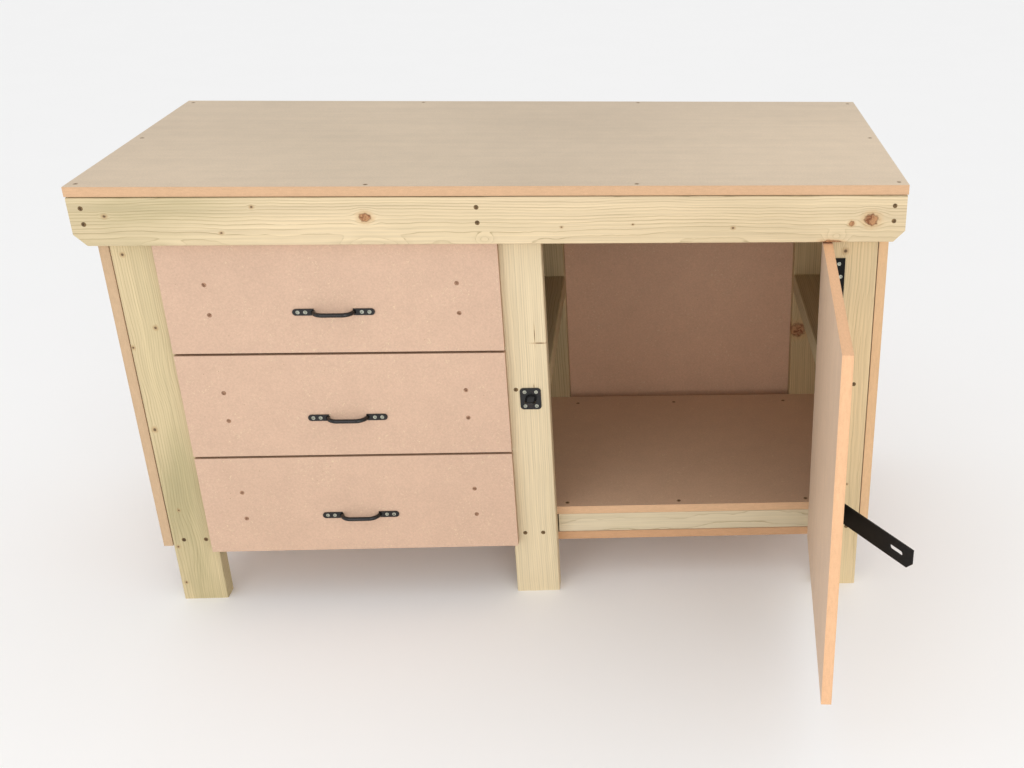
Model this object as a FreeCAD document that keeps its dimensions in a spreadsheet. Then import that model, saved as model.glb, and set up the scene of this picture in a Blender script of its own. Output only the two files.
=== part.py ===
import FreeCAD, Part
import Sketcher
import math
import os
import re

# Timber-framed workbench: MDF top, three drawers on the left, a cupboard with a hinged door on the right.
# The bench frame has X along the front (0 at mid length), Y from front to back and Z up from the floor.
# The drawers are shut and the door stands open, with the hasp strap swung out from it.

os.makedirs("parts", exist_ok=True)
doc = FreeCAD.newDocument("workbench")
sheet = doc.addObject("Spreadsheet::Sheet", "Dims")

DIMENSIONS = {
    # overall
    "worktop_length": 1500,
    "worktop_depth": 680,
    "bench_height": 897,
    "front_y": -58.06,              # worktop's front edge, with Y = 0 half way along the rest box
    "board": 18,                    # thickness of the MDF boards
    "plank": 38,                    # thickness of the timber
    "plank_wide": 89,               # width of the timber
    "arris": 3,                     # rounding of the timber's long edges
    "assembly_gap": 1,
    # aprons and legs
    "apron_length": 1497,
    "apron_drop": 2,                # the front and rear aprons stop this far below the worktop
    "apron_snip": 22,               # corners sawn off the aprons' lower ends
    "frame_length": 1416,           # over the outer legs
    "middle_leg_x": -16,
    # rails, shelf and panels
    "rail_height": 44,
    "lower_rail_z": 122,
    "middle_rail_z": 458,
    "cupboard_rail_gap": 2.5,
    "panel_z": 131,
    # drawers
    "drawer_face_x": -625,
    "drawer_face_width": 619,
    "drawer_face_height": 216,
    "drawer_face_z": 126,
    "drawer_face_gap": 5,
    "drawer_stop_gap": 0.5,
    "box_height": 120,
    "box_drop": 45,                 # box bottom below the middle of the drawer's face
    "box_depth": 500,
    "box_side": 12,
    "box_base": 6,
    "runner_width": 12.5,
    "runner_height": 35,
    "runner_steel": 1.2,
    "runner_length": 480,
    "runner_reach": 9.5,            # depth of each channel
    "cabinet_runner_start": 2,      # behind the drawer box's front
    "drawer_runner_start": 4,
    "cleat_height": 60,
    # bow handles
    "handle_length": 152,
    "handle_height": 13,
    "handle_foot": 40,
    "handle_steel": 2.5,
    "handle_drop": 25,              # below the middle of the drawer's face
    "handle_screw_inner": 52,       # handle's middle to its screws
    "handle_screw_outer": 66,
    "bow_radius": 4.2,              # of the round bar
    "bow_reach": 19,                # the bar's centre, in front of the drawer's face
    "bow_straight": 34,             # straight middle of the bar
    "bow_bend": 21,                 # bend at each end, cut flush with the drawer's face
    # door and its two T-hinges
    "door_width": 540,
    "door_height": 658,
    "door_z": 127,
    "door_open": 85.7,              # degrees from shut
    "pivot_from_leg": 2.5,          # hinge axis to the right leg's inner edge
    "pivot_from_face": 4.8,         # hinge axis to the legs' front face
    "door_edge_gap": 4,             # hinge axis to the door's edge
    "steel": 2.5,                   # thickness of the hinges, hasp and staple plate
    "knuckle_radius": 4.5,
    "pin_radius": 2.5,
    "pin_clearance": 0.05,
    "moving_gap": 0.3,
    "knuckle_clearance": 0.5,       # flat plate to the knuckle beside it
    "hinge_height": 100,
    "hinge_plate_width": 24.5,
    "hinge_strap_length": 300,
    "hinge_strap_root": 40,
    "hinge_strap_tip": 22,
    "upper_hinge_z": 694,
    "lower_hinge_z": 218,
    # hasp and staple
    "hasp_z": 455,
    "hasp_height": 38,
    "hasp_open": 35.3,              # degrees from flat against the staple
    "hasp_from_edge": 101,          # hasp pin to the door's free edge
    "hasp_leaf_length": 60,
    "hasp_strap_length": 180,
    "hasp_slot": 30,
    "hasp_slot_height": 8,
    "hasp_snip": 12,                # sawn off the strap's lower outer corner
    "hasp_knuckle_radius": 4.2,
    "hasp_pin_radius": 2.1,
    "hasp_knuckle_half": 7,
    "staple_x": 36.5,
    "staple_width": 41,
    "staple_height": 46,
    "staple_below": 21.8,           # plate's lower edge, below the hasp's middle
    "staple_corner": 7,
    "staple_wire": 2.5,
    "staple_half_span": 9,
    "staple_leg": 10,
    # screws
    "screw_head": 4.4,
    "screw_shank": 2.2,
    "small_head": 3.7,
    "small_shank": 1.8,
    "screw_clearance": 0.1,
    "recess_half_width": 0.5,
    "recess_depth": 1.3,
    "overcut": 1,                   # how far a cutting tool passes the face it cuts
}

for row, (alias, number) in enumerate(DIMENSIONS.items(), start=1):
    sheet.set(f"A{row}", alias)
    sheet.set(f"B{row}", str(number))
    sheet.setAlias(f"B{row}", alias)
doc.recompute()

ALIAS = re.compile(r"\b(" + "|".join(DIMENSIONS) + r")\b")


def dim(alias):
    """A driving dimension as a number, read from the sheet."""
    return float(sheet.get(alias))


def bind(item, prop, formula):
    """Bind a property to a formula of sheet aliases."""
    item.setExpression(prop, ALIAS.sub(r"Dims.\1", formula))


# ---------------------------------------------------------------- frames of the moving pieces

PIVOT_X = "(frame_length / 2 - plank_wide + pivot_from_leg)"
PIVOT_Y = "(plank - pivot_from_face + front_y)"
HASP_X = "(-(door_edge_gap + door_width - hasp_from_edge))"
HASP_WORLD_X = f"({PIVOT_X} + {HASP_X} * cos(door_open))"
HASP_WORLD_Y = f"({PIVOT_Y} + {HASP_X} * sin(door_open))"

FRAMES = {
    "bench": ("0", "front_y", "0"),
    "door": (PIVOT_X, PIVOT_Y, "door_open"),
    "hasp": (HASP_WORLD_X, HASP_WORLD_Y, "(door_open + hasp_open)"),
}


def place(item, corner, frame="bench"):
    """Place an object's origin at a corner given in its frame, turned with the frame about Z."""
    base_x, base_y, turn = FRAMES[frame]
    x, y, z = corner
    bind(item, "Placement.Base.x", f"{base_x} + ({x}) * cos({turn}) - ({y}) * sin({turn})")
    bind(item, "Placement.Base.y", f"{base_y} + ({x}) * sin({turn}) + ({y}) * cos({turn})")
    bind(item, "Placement.Base.z", z)
    if frame != "bench":
        bind(item, "Placement.Rotation.Angle", turn)


def place_feature(item, frame):
    """Give a Part::Feature modelled in a frame's own axes that frame's placement."""
    hinge_x = dim("frame_length") / 2 - dim("plank_wide") + dim("pivot_from_leg")
    hinge_y = dim("plank") - dim("pivot_from_face") + dim("front_y")
    up = FreeCAD.Vector(0, 0, 1)
    if frame == "door":
        origin = FreeCAD.Vector(hinge_x, hinge_y, 0)
        item.Placement = FreeCAD.Placement(origin, FreeCAD.Rotation(up, dim("door_open")))
    else:
        item.Placement = FreeCAD.Placement(FreeCAD.Vector(0, dim("front_y"), 0), FreeCAD.Rotation())


# ---------------------------------------------------------------- primitives

ROUGH_SIZE = 100.0                  # a sketch's outline before its constraints shape it
nodes = []
blanks = []


def origin_plane(body, role):
    return next(f for f in body.Origin.OriginFeatures if f.Role == role)


def node(item, label):
    """Register an object as a sub-part, which is written to a file of its own."""
    item.Label = label
    nodes.append(item)
    return item


def outline(body, name, role, points):
    """Closed polygon sketch whose corners are bound to formulas; each must be zero or positive."""
    sketch = body.newObject("Sketcher::SketchObject", name)
    sketch.AttachmentSupport = (origin_plane(body, role), [""])
    sketch.MapMode = "FlatFace"
    count = len(points)
    rough = []
    for index in range(count):
        turn = 2 * math.pi * index / count
        across, up = 1 + math.cos(turn), 1 + math.sin(turn)
        rough.append(FreeCAD.Vector(ROUGH_SIZE * across, ROUGH_SIZE * up, 0))
    for index in range(count):
        sketch.addGeometry(Part.LineSegment(rough[index], rough[(index + 1) % count]), False)
    for index in range(count):
        sketch.addConstraint(Sketcher.Constraint("Coincident", index, 2, (index + 1) % count, 1))
    for index, (across, upward) in enumerate(points):
        for kind, formula, axis in (("DistanceX", across, -2), ("DistanceY", upward, -1)):
            if formula == "0":
                sketch.addConstraint(Sketcher.Constraint("PointOnObject", index, 1, axis))
            else:
                number = sketch.addConstraint(Sketcher.Constraint(kind, -1, 1, index, 1, ROUGH_SIZE))
                bind(sketch, f"Constraints[{number}]", formula)
    return sketch


def slab(name, points, thickness, role="XY_Plane"):
    """A board or plate sketched flat and padded by its thickness, towards +Z or +Y."""
    body = doc.addObject("PartDesign::Body", name)
    sketch = outline(body, name + "_outline", role, points)
    pad = body.newObject("PartDesign::Pad", name + "_pad")
    pad.Profile = sketch
    pad.Reversed = role == "XZ_Plane"
    bind(pad, "Length", thickness)
    body.Tip = pad
    return body


def rectangle(width, height):
    return [("0", "0"), (width, "0"), (width, height), ("0", height)]


def sheet_board(label, size, corner, frame="bench"):
    """A square-edged board."""
    body = slab(label, rectangle(size[0], size[1]), size[2])
    place(body, corner, frame)
    return body


def timber(label, size, corner, grain):
    """A planed timber whose four long edges are rounded; grain is its long axis."""
    body = sheet_board(label, size, corner)
    blanks.append((body, grain, "arris"))
    return body


def round_long_edges():
    """Round the edges that run along each blank's grain, once the pads exist."""
    doc.recompute()
    for body, grain, radius in blanks:
        square = body.Tip
        names = []
        for number, edge in enumerate(square.Shape.Edges, start=1):
            start, end = edge.Vertexes[0].Point, edge.Vertexes[-1].Point
            along = (end - start).normalize()
            if abs(getattr(along, grain)) > 0.999:
                names.append(f"Edge{number}")
        fillet = body.newObject("PartDesign::Fillet", body.Name + "_rounding")
        fillet.Base = (square, names)
        bind(fillet, "Radius", radius)
        body.Tip = fillet
    doc.recompute()


def box(name, size, corner, frame="bench"):
    item = doc.addObject("Part::Box", name)
    for prop, formula in zip(("Length", "Width", "Height"), size):
        bind(item, prop, formula)
    place(item, corner, frame)
    return item


def rod(name, radius, length, centre, frame="bench"):
    """An upright cylinder standing on the given centre."""
    item = doc.addObject("Part::Cylinder", name)
    bind(item, "Radius", radius)
    bind(item, "Height", length)
    place(item, centre, frame)
    return item


def fuse(name, items):
    item = doc.addObject("Part::MultiFuse", name)
    item.Shapes = items
    item.Refine = True
    return item


def cut(name, base, tool):
    item = doc.addObject("Part::Cut", name)
    item.Base = base
    item.Tool = tool
    return item


def group(name, items):
    """Separate identical solids in one sub-part."""
    item = doc.addObject("Part::Compound", name)
    item.Links = items
    return item


# ---------------------------------------------------------------- screws

RECESS_SPREAD = 0.55                # the cross recess's arm, as a share of the head's radius
SCREW_TURN = 37.0                   # degrees each recess is turned from the one before


def screw_solid(head, shank, length, clearance=0.0):
    """Countersunk screw, its head's face at Z = 0 and its point down. With a clearance it is the hole."""
    top = dim("overcut") if clearance else 0.0
    wide, thin = head + clearance, shank + clearance
    throat = -(head - shank)
    corners = [
        (0, top), (wide, top), (wide, 0), (thin, throat), (thin, -length + thin), (0, -length - clearance),
    ]
    points = [FreeCAD.Vector(radius, 0, height) for radius, height in corners]
    unique = [p for i, p in enumerate(points) if i == 0 or (p - points[i - 1]).Length > 1e-6]
    face = Part.Face(Part.makePolygon(unique + [unique[0]]))
    solid = face.revolve(FreeCAD.Vector(0, 0, 0), FreeCAD.Vector(0, 0, 1), 360)
    if clearance:
        return solid
    arm, slot, depth = head * RECESS_SPREAD, dim("recess_half_width"), dim("recess_depth")
    for half_x, half_y in ((arm, slot), (slot, arm)):
        corner = FreeCAD.Vector(-half_x, -half_y, -depth)
        solid = solid.cut(Part.makeBox(2 * half_x, 2 * half_y, 2 * depth, corner))
    return solid


class ScrewSet:
    """Identical screws, with the holes they need. Places are (x, y, z) of the head and the way it faces."""

    def __init__(self, name, places, length, size="screw", frame="bench"):
        self.solids = self._copies(places, size, length, 0.0)
        self.holes = doc.addObject("Part::Feature", name + "_holes")
        self.holes.Shape = Part.makeCompound(self._copies(places, size, length, dim("screw_clearance")))
        self.frame = frame
        place_feature(self.holes, frame)

    @staticmethod
    def _copies(places, size, length, clearance):
        master = screw_solid(dim(size + "_head"), dim(size + "_shank"), length, clearance)
        copies = []
        for number, (point, facing) in enumerate(places):
            turned = FreeCAD.Rotation(FreeCAD.Vector(0, 0, 1), FreeCAD.Vector(*facing))
            spun = turned * FreeCAD.Rotation(FreeCAD.Vector(0, 0, 1), SCREW_TURN * number)
            solid = master.copy()
            solid.Placement = FreeCAD.Placement(FreeCAD.Vector(*point), spun)
            copies.append(solid)
        return copies


def screw_node(label, sets):
    """One sub-part holding every screw of the sets."""
    item = doc.addObject("Part::Feature", label)
    item.Shape = Part.makeCompound([solid for one in sets for solid in one.solids])
    place_feature(item, sets[0].frame)
    return node(item, label)


def drilled(label, blank, sets):
    """The blank with the holes of the screw sets, as a finished sub-part."""
    blank.Label = label + "_blank"
    item = blank
    for number, one in enumerate(sets):
        item = cut(f"{label}_drilled_{number}", item, one.holes)
    return node(item, label)


LYING = FreeCAD.Rotation(FreeCAD.Vector(1, 0, 0), 90)
FRONT, BACK, LEFT, RIGHT, UP = (0, -1, 0), (0, 1, 0), (-1, 0, 0), (1, 0, 0), (0, 0, 1)

half_frame = dim("frame_length") / 2
leg_face = dim("plank")
rear_face = dim("worktop_depth") - dim("plank")
side_face = half_frame + dim("assembly_gap")
middle_leg = dim("middle_leg_x")
half_leg = dim("plank_wide") / 2
leg_centres = (-half_frame + half_leg, middle_leg + half_leg, half_frame - half_leg)

# Where each row of screws is: X across the front, Y from its front edge and Z from the floor.
apron_rows = (858, 829)
apron_columns = (-726, -36, 726)
rail_row, middle_rail_row, staple_rail_row = 145, 478, 475.5
rail_columns = (-685, -641, 8, 45, 645, 682)
leg_rows = (845, 815)
leg_depths = (dim("plank") * 1.5, dim("worktop_depth") - dim("plank") * 1.5)
panel_rows = (190, 450, 735)

worktop_places = [((x, y, dim("bench_height")), UP) for x in (-734, 734) for y in (20, 345, 660)]
worktop_places += [((x, y, dim("bench_height")), UP) for x in (-230, 253) for y in (12, 668)]
worktop_screws = ScrewSet("worktop_screws", worktop_places, 50)

apron_places = [((x, 0, z), FRONT) for x in apron_columns for z in apron_rows]
apron_places += [((x, dim("worktop_depth"), z), BACK) for x in apron_columns for z in apron_rows]
apron_screws = ScrewSet("apron_screws", apron_places, 60)

middle_rail_front = ((8.5, staple_rail_row), (645, middle_rail_row), (678, middle_rail_row))

rail_places = [((x, leg_face, rail_row), FRONT) for x in rail_columns]
rail_places += [((x, leg_face, z), FRONT) for x, z in middle_rail_front]
rail_places += [((x, rear_face, z), BACK) for x in rail_columns for z in (rail_row, middle_rail_row)]
rail_screws = ScrewSet("rail_screws", rail_places, 60)

side_x = side_face + dim("plank")
leg_places = [((side * side_x, y, z), RIGHT if side > 0 else LEFT)
              for side in (-1, 1) for y in leg_depths for z in leg_rows]
joist_face = middle_leg - dim("assembly_gap") - dim("plank")
leg_places += [((joist_face, y, z), LEFT) for y in leg_depths for z in leg_rows]
leg_screws = ScrewSet("leg_screws", leg_places, 60)

panel_x = side_face + dim("board")
side_panel_places = [((side * panel_x, y, z), RIGHT if side > 0 else LEFT)
                     for side in (-1, 1) for y in leg_depths for z in panel_rows]
side_panel_screws = ScrewSet("side_panel_screws", side_panel_places, 40)

back_y = rear_face + dim("assembly_gap") + dim("board")
back_panel_places = [((x, back_y, z), BACK) for x in leg_centres for z in panel_rows]
back_panel_screws = ScrewSet("back_panel_screws", back_panel_places, 40)

shelf_z = dim("lower_rail_z") + dim("rail_height") + dim("board")
shelf_places = [((x, y, shelf_z), UP) for x in (94, 329, 600) for y in (92, 568)]
shelf_screws = ScrewSet("shelf_screws", shelf_places, 50)

# ---------------------------------------------------------------- worktop and aprons

TOP_Z = "bench_height - board"
REAR_FACE = "worktop_depth - plank"

worktop = sheet_board(
    "worktop", ("worktop_length", "worktop_depth", "board"), ("-worktop_length / 2", "0", TOP_Z))
drilled("worktop", worktop, [worktop_screws])


def apron(label, y):
    """Long apron board with its two lower corners sawn off."""
    corners = [
        ("apron_snip", "0"), ("apron_length - apron_snip", "0"), ("apron_length", "apron_snip"),
        ("apron_length", "plank_wide"), ("0", "plank_wide"), ("0", "apron_snip"),
    ]
    body = slab(label, corners, "plank", role="XZ_Plane")
    place(body, ("-apron_length / 2", y, f"{TOP_Z} - apron_drop - plank_wide"))
    blanks.append((body, "x", "arris"))
    return body


drilled("front_apron", apron("front_apron", "0"), [apron_screws, worktop_screws])
drilled("rear_apron", apron("rear_apron", REAR_FACE), [apron_screws, worktop_screws])

BETWEEN_APRONS = "worktop_depth - 2 * plank"
cross_timbers = {
    "left_side_apron": "-frame_length / 2 - assembly_gap - plank",
    "right_side_apron": "frame_length / 2 + assembly_gap",
    "middle_joist": "middle_leg_x - assembly_gap - plank",
}
for label, left in cross_timbers.items():
    blank = timber(
        label, ("plank", BETWEEN_APRONS, "plank_wide"), (left, "plank", f"{TOP_Z} - plank_wide"), "y")
    drilled(label, blank, [worktop_screws, apron_screws, leg_screws])

# ---------------------------------------------------------------- legs, rails and shelf

LEG_X = {
    "left": "-frame_length / 2",
    "middle": "middle_leg_x",
    "right": "frame_length / 2 - plank_wide",
}
BEHIND_LEGS = "2 * plank"
BETWEEN_LEGS = "worktop_depth - 4 * plank"

hardware_z = {"upper": dim("upper_hinge_z"), "lower": dim("lower_hinge_z")}
pivot_x = half_frame - dim("plank_wide") + dim("pivot_from_leg")
plate_face = leg_face - dim("steel")

# Each plate's screws, from its hinge axis or its middle.
hinge_plate_holes = ((13, 39), (17, 13), (13, -13), (17, -39))
staple_holes = ((-11.2, 15.9), (11.2, 15.9), (-11.2, -14.6), (11.2, -14.6))
hinge_plate_places = [
    ((pivot_x + across, plate_face, z + rise), FRONT)
    for z in hardware_z.values()
    for across, rise in hinge_plate_holes
]
staple_places = [
    ((dim("staple_x") + across, plate_face, dim("hasp_z") + rise), FRONT) for across, rise in staple_holes
]
bench_small_screws = ScrewSet(
    "bench_small_screws", hinge_plate_places + staple_places, 20, size="small")

leg_sets = [rail_screws, leg_screws, side_panel_screws, back_panel_screws]
for side, left in LEG_X.items():
    for row, front in (("front", "plank"), ("rear", f"{REAR_FACE} - plank")):
        label = f"{side}_{row}_leg"
        blank = timber(label, ("plank_wide", "plank", TOP_Z), (left, front, "0"), "z")
        drilled(label, blank, leg_sets + ([bench_small_screws] if row == "front" else []))

for side, left in LEG_X.items():
    for level in ("lower", "middle"):
        label = f"{side}_{level}_side_rail"
        blank = timber(
            label, ("plank_wide", BETWEEN_LEGS, "rail_height"), (left, BEHIND_LEGS, f"{level}_rail_z"), "y")
        drilled(label, blank, [rail_screws])

CUPBOARD_X = "middle_leg_x + plank_wide + cupboard_rail_gap"
CUPBOARD_WIDTH = "frame_length / 2 - 2 * plank_wide - middle_leg_x - 2 * cupboard_rail_gap"
REAR_RAIL_Y = f"{BEHIND_LEGS} + {BETWEEN_LEGS} - plank_wide"
cupboard_rails = [
    timber(name, (CUPBOARD_WIDTH, "plank_wide", "rail_height"), (CUPBOARD_X, front, "lower_rail_z"), "x")
    for name, front in (("cupboard_rail_front", BEHIND_LEGS), ("cupboard_rail_rear", REAR_RAIL_Y))
]
drilled("cupboard_rails", group("cupboard_rail_pair", cupboard_rails), [shelf_screws])

shelf = sheet_board(
    "cupboard_shelf", ("frame_length / 2 - middle_leg_x", BETWEEN_LEGS, "board"),
    ("middle_leg_x", BEHIND_LEGS, "lower_rail_z + rail_height"))
drilled("cupboard_shelf", shelf, [shelf_screws])

# The base runs back to the back panel, notched round the rear legs.
NOTCH_Y = f"({BETWEEN_LEGS})"
BASE_DEPTH = f"({BETWEEN_LEGS} + plank)"
AFTER_LEFT_LEG = "(plank_wide + assembly_gap)"
BEFORE_MIDDLE_LEG = "(frame_length / 2 + middle_leg_x - assembly_gap)"
AFTER_MIDDLE_LEG = "(frame_length / 2 + middle_leg_x + plank_wide + assembly_gap)"
BEFORE_RIGHT_LEG = "(frame_length - plank_wide - assembly_gap)"
base_outline = [
    ("0", "0"), ("frame_length", "0"), ("frame_length", NOTCH_Y),
    (BEFORE_RIGHT_LEG, NOTCH_Y), (BEFORE_RIGHT_LEG, BASE_DEPTH),
    (AFTER_MIDDLE_LEG, BASE_DEPTH), (AFTER_MIDDLE_LEG, NOTCH_Y),
    (BEFORE_MIDDLE_LEG, NOTCH_Y), (BEFORE_MIDDLE_LEG, BASE_DEPTH),
    (AFTER_LEFT_LEG, BASE_DEPTH), (AFTER_LEFT_LEG, NOTCH_Y), ("0", NOTCH_Y),
]
base_panel = slab("base_panel", base_outline, "board")
place(base_panel, ("-frame_length / 2", BEHIND_LEGS, "lower_rail_z - board"))
node(base_panel, "base_panel")

# ---------------------------------------------------------------- side and back panels

PANEL_HEIGHT = f"{TOP_Z} - apron_drop - plank_wide - assembly_gap - panel_z"
panel_left = {
    "left_side_panel": "-frame_length / 2 - assembly_gap - board",
    "right_side_panel": "frame_length / 2 + assembly_gap",
}
for label, left in panel_left.items():
    blank = sheet_board(label, ("board", BETWEEN_APRONS, PANEL_HEIGHT), (left, "plank", "panel_z"))
    drilled(label, blank, [side_panel_screws])

back_panel = sheet_board(
    "back_panel", ("frame_length + 2 * assembly_gap + 2 * board", "board", PANEL_HEIGHT),
    ("-frame_length / 2 - assembly_gap - board", f"{REAR_FACE} + assembly_gap", "panel_z"))
drilled("back_panel", back_panel, [back_panel_screws])

screw_node("wood_screws", [worktop_screws, apron_screws, rail_screws, leg_screws, shelf_screws,
                           side_panel_screws, back_panel_screws])

# ---------------------------------------------------------------- drawers

DRAWERS = ("bottom", "middle", "top")
BAY_LEFT = "(-frame_length / 2 + plank_wide)"
BAY_WIDTH = "(middle_leg_x + frame_length / 2 - plank_wide)"
BOX_LEFT = f"({BAY_LEFT} + runner_width)"
BOX_WIDTH = f"({BAY_WIDTH} - 2 * runner_width)"
FACE_Y = "(plank - drawer_stop_gap - board)"
BOX_Y = "(plank - drawer_stop_gap)"


def face_middle(number):
    """Height of the middle of a drawer's face, counted from the lowest drawer."""
    return f"(drawer_face_z + {number} * (drawer_face_height + drawer_face_gap) + drawer_face_height / 2)"


def channel(name, left, inner_left, height, y, middle_z):
    """A C-shaped steel section along Y: its outside, less the space inside it."""
    outside = box(
        name + "_outside", ("runner_reach", "runner_length", height),
        (left, y, f"{middle_z} - {height} / 2"))
    hollow = box(
        name + "_hollow", ("runner_reach", "runner_length + 2 * overcut", f"{height} - 2 * runner_steel"),
        (inner_left, f"{y} - overcut", f"{middle_z} - {height} / 2 + runner_steel"))
    return cut(name, outside, hollow)


def runner_pair(kind, tag, middle_z):
    """The left and right channels of one drawer. The drawer's own channels slide inside the bench's."""
    at_bay = kind == "cabinet"
    channels = []
    for side in ("left", "right"):
        on_left = side == "left"
        if on_left:
            edge = BAY_LEFT if at_bay else f"({BOX_LEFT} - runner_reach)"
        else:
            edge = f"({BAY_LEFT} + {BAY_WIDTH} - runner_reach)" if at_bay else f"({BOX_LEFT} + {BOX_WIDTH})"
        opens_right = on_left == at_bay
        inner = f"{edge} + runner_steel" if opens_right else f"{edge} - runner_steel"
        height = "runner_height" if at_bay else "(runner_height - 2 * runner_steel - 2 * moving_gap)"
        start = f"({BOX_Y} + {kind}_runner_start)"
        channels.append(channel(f"{tag}_{kind}_{side}", edge, inner, height, start, middle_z))
    return channels


face_screw_x = (-545, -85.5)
face_screw_rise = (-30, 30)
handle_x = -317
handle_screw_across = [side * dim(f"handle_screw_{end}") for side in (-1, 1) for end in ("inner", "outer")]
face_y = dim("plank") - dim("drawer_stop_gap") - dim("board")
cabinet_channels = []

for number, tag in enumerate(DRAWERS):
    middle = face_middle(number)
    middle_z = (dim("drawer_face_z") + number * (dim("drawer_face_height") + dim("drawer_face_gap"))
                + dim("drawer_face_height") / 2)
    box_z = f"({middle} - box_drop)"
    runner_z = f"({middle} - box_drop + box_height / 2)"
    handle_z = middle_z - dim("handle_drop")

    face_places = [((x, face_y, middle_z + rise), FRONT) for x in face_screw_x for rise in face_screw_rise]
    face_screws = ScrewSet(f"{tag}_face", face_places, 27)
    handle_face = face_y - dim("handle_steel")
    handle_places = [((handle_x + across, handle_face, handle_z), FRONT) for across in handle_screw_across]
    handle_screws = ScrewSet(f"{tag}_handle_fixing", handle_places, 17, size="small")

    face = sheet_board(
        f"{tag}_drawer_front", ("drawer_face_width", "board", "drawer_face_height"),
        ("drawer_face_x", FACE_Y, f"{middle} - drawer_face_height / 2"))
    drilled(f"{tag}_drawer_front", face, [face_screws, handle_screws])

    sides = [
        box(f"{tag}_side_{name}", ("box_side", "box_depth", "box_height"), (left, BOX_Y, box_z))
        for name, left in (("left", BOX_LEFT), ("right", f"{BOX_LEFT} + {BOX_WIDTH} - box_side"))
    ]
    node(group(f"{tag}_drawer_sides", sides), f"{tag}_drawer_sides")
    ends = [
        box(f"{tag}_end_{name}", (f"{BOX_WIDTH} - 2 * box_side", "box_side", "box_height"),
            (f"{BOX_LEFT} + box_side", front, box_z))
        for name, front in (("front", BOX_Y), ("rear", f"{BOX_Y} + box_depth - box_side"))
    ]
    drilled(f"{tag}_drawer_ends", group(f"{tag}_end_pair", ends), [face_screws])
    base = box(
        f"{tag}_base", (f"{BOX_WIDTH} - 2 * box_side", "box_depth - 2 * box_side", "box_base"),
        (f"{BOX_LEFT} + box_side", f"{BOX_Y} + box_side", box_z))
    node(base, f"{tag}_drawer_base")

    cabinet_channels += runner_pair("cabinet", tag, runner_z)
    node(group(f"{tag}_drawer_runners", runner_pair("drawer", tag, runner_z)), f"{tag}_drawer_runners")

    # bow handle: two feet with rounded outer ends, joined by a round bar bent back to the face at each end
    handle_middle = f"({middle} - handle_drop)"
    handle_parts = []
    for side, sign, first_angle in (("left", -1, 180), ("right", 1, 270)):
        outer = f"{handle_x} + {sign} * (handle_length - handle_height) / 2"
        corner = outer if sign < 0 else f"{outer} - handle_foot + handle_height / 2"
        handle_parts.append(box(
            f"{tag}_foot_{side}", ("handle_foot - handle_height / 2", "handle_steel", "handle_height"),
            (corner, f"{FACE_Y} - handle_steel", f"{handle_middle} - handle_height / 2")))
        tip = rod(
            f"{tag}_tip_{side}", "handle_height / 2", "handle_steel", (outer, FACE_Y, handle_middle))
        tip.Placement.Rotation = LYING
        handle_parts.append(tip)
        bend = doc.addObject("Part::Torus", f"{tag}_bend_{side}")
        bind(bend, "Radius1", "bow_bend")
        bind(bend, "Radius2", "bow_radius")
        bend.Angle3 = 90
        place(bend, (f"{handle_x} + {sign} * bow_straight / 2", f"{FACE_Y} + bow_bend - bow_reach",
                     handle_middle))
        bend.Placement.Rotation = FreeCAD.Rotation(FreeCAD.Vector(0, 0, 1), first_angle)
        handle_parts.append(bend)
    grip = rod(
        f"{tag}_grip", "bow_radius", "bow_straight",
        (f"{handle_x} - bow_straight / 2", f"{FACE_Y} - bow_reach", handle_middle))
    grip.Placement.Rotation = FreeCAD.Rotation(FreeCAD.Vector(0, 1, 0), 90)
    handle_parts.append(grip)
    behind_face = box(
        f"{tag}_behind_face", ("handle_length", "2 * bow_reach", "2 * handle_height"),
        (f"{handle_x} - handle_length / 2", FACE_Y, f"{handle_middle} - handle_height"))
    handle = cut(f"{tag}_handle_flush", fuse(f"{tag}_handle_bow", handle_parts), behind_face)
    drilled(f"{tag}_drawer_handle", handle, [handle_screws])
    screw_node(f"{tag}_handle_screws", [handle_screws])
    screw_node(f"{tag}_front_screws", [face_screws])

node(group("cabinet_runners", cabinet_channels), "cabinet_runners")

cleats = []
for number, tag in ((0, "lower"), (2, "upper")):
    runner_z = f"({face_middle(number)} - box_drop + box_height / 2)"
    for side, left in (("left", f"{BAY_LEFT} - board"), ("right", f"{BAY_LEFT} + {BAY_WIDTH}")):
        cleats.append(box(
            f"{tag}_cleat_{side}", ("board", BETWEEN_LEGS, "cleat_height"),
            (left, BEHIND_LEGS, f"{runner_z} - cleat_height / 2")))
node(group("drawer_cleats", cleats), "drawer_cleats")

# ---------------------------------------------------------------- T-hinges

# In the door's frame the hinge axis is the origin, the shut door runs towards -X and its outer
# face lies at Y = pivot_from_face - moving_gap.
DOOR_FACE = "(pivot_from_face - moving_gap)"
KNUCKLE_HALF = "(hinge_strap_root / 2)"


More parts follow.
